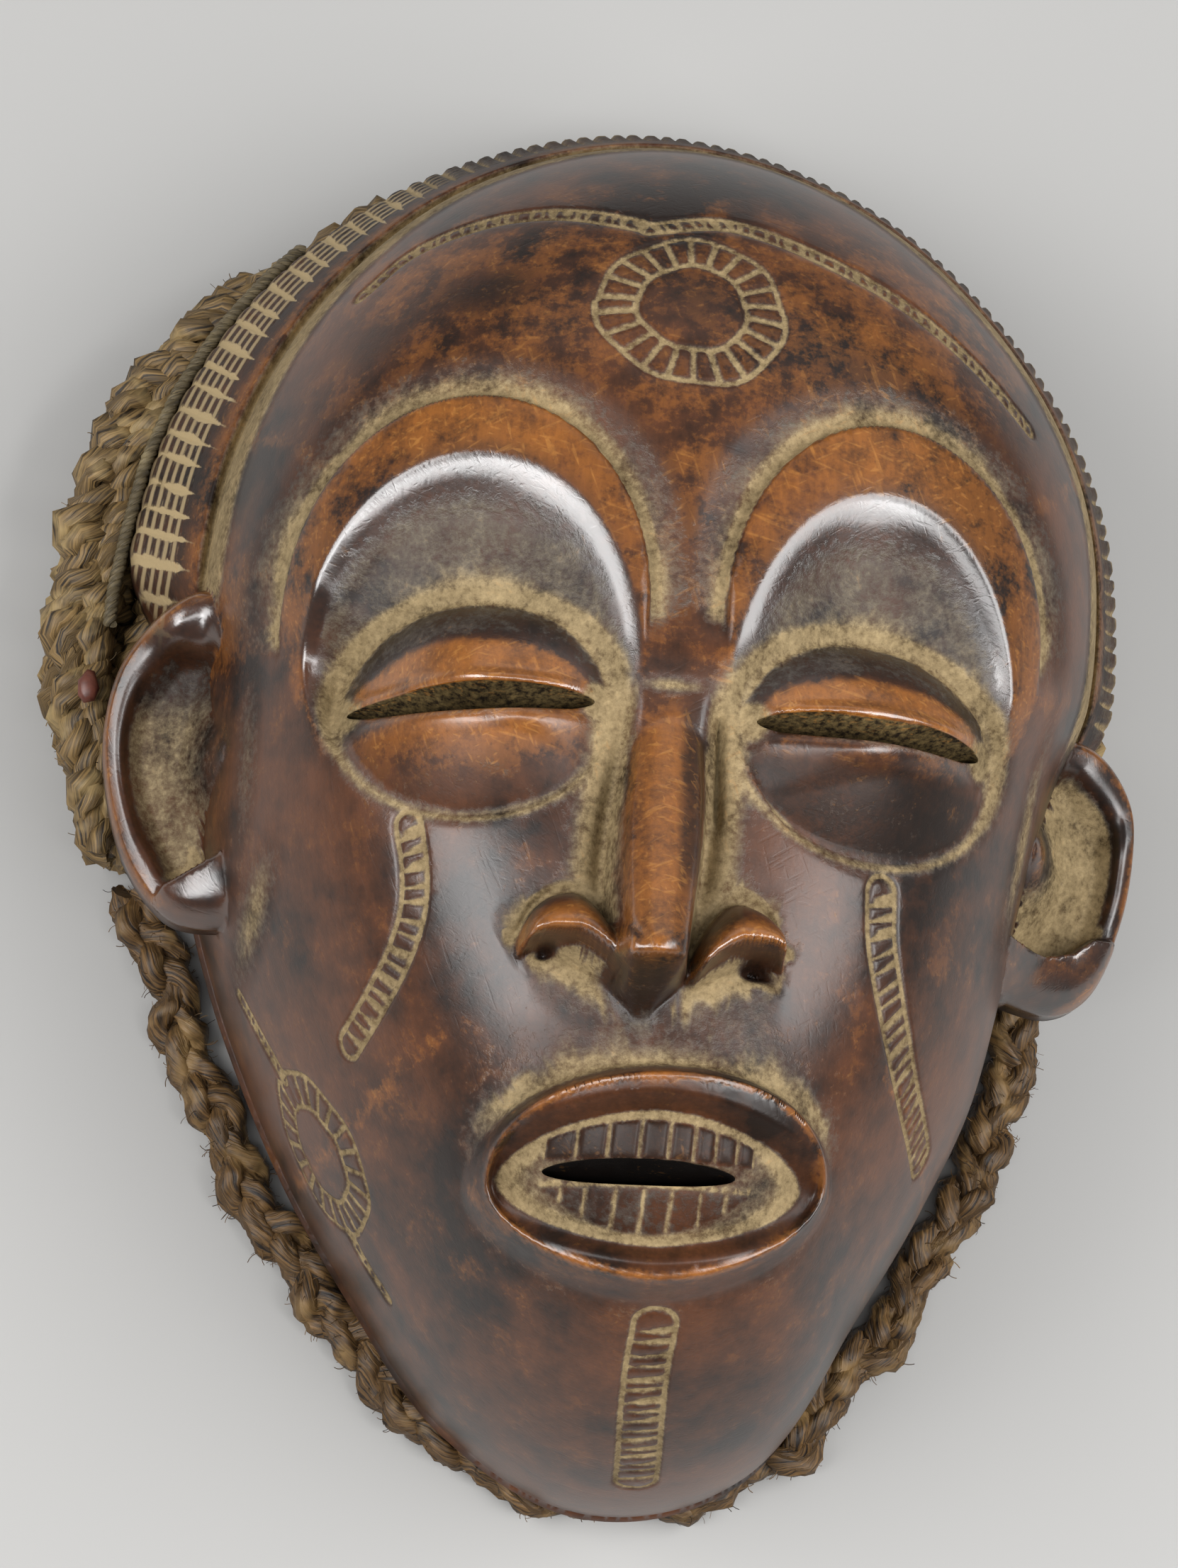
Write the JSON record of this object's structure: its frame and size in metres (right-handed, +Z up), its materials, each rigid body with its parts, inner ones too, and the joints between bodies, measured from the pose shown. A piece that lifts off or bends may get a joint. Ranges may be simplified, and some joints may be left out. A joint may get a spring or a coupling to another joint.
{
  "type": "carved wooden face mask",
  "caption": "Hollow carved wooden face mask lying on its back, with closed slit eyes, an open mouth with teeth, ears, a hair band, a knotted fibre coiffure and a braid under the jaw.",
  "frame": {"origin": "centre of the bounding box's underside, on the table the mask lies on", "axes": "+Z up, out of the face; +Y towards the crown; +X towards the wearer's left, which is the right of the picture"},
  "size_m": [0.2071, 0.2703, 0.1398],
  "materials": {
    "carved_wood": "dark oiled, rubbed glossy on the high places, with tan earth left in the hollows",
    "knotted_fibre": "matt",
    "braided_fibre": "matt",
    "twisted_cord": "matt",
    "red_wood": "worn"
  },
  "bodies": {
    "root": {"mask": "carved_wood", "fibre_coiffure": "knotted_fibre", "jaw_braid": "braided_fibre", "rim_cord": "twisted_cord", "peg": "red_wood"}
  },
  "joints": []
}
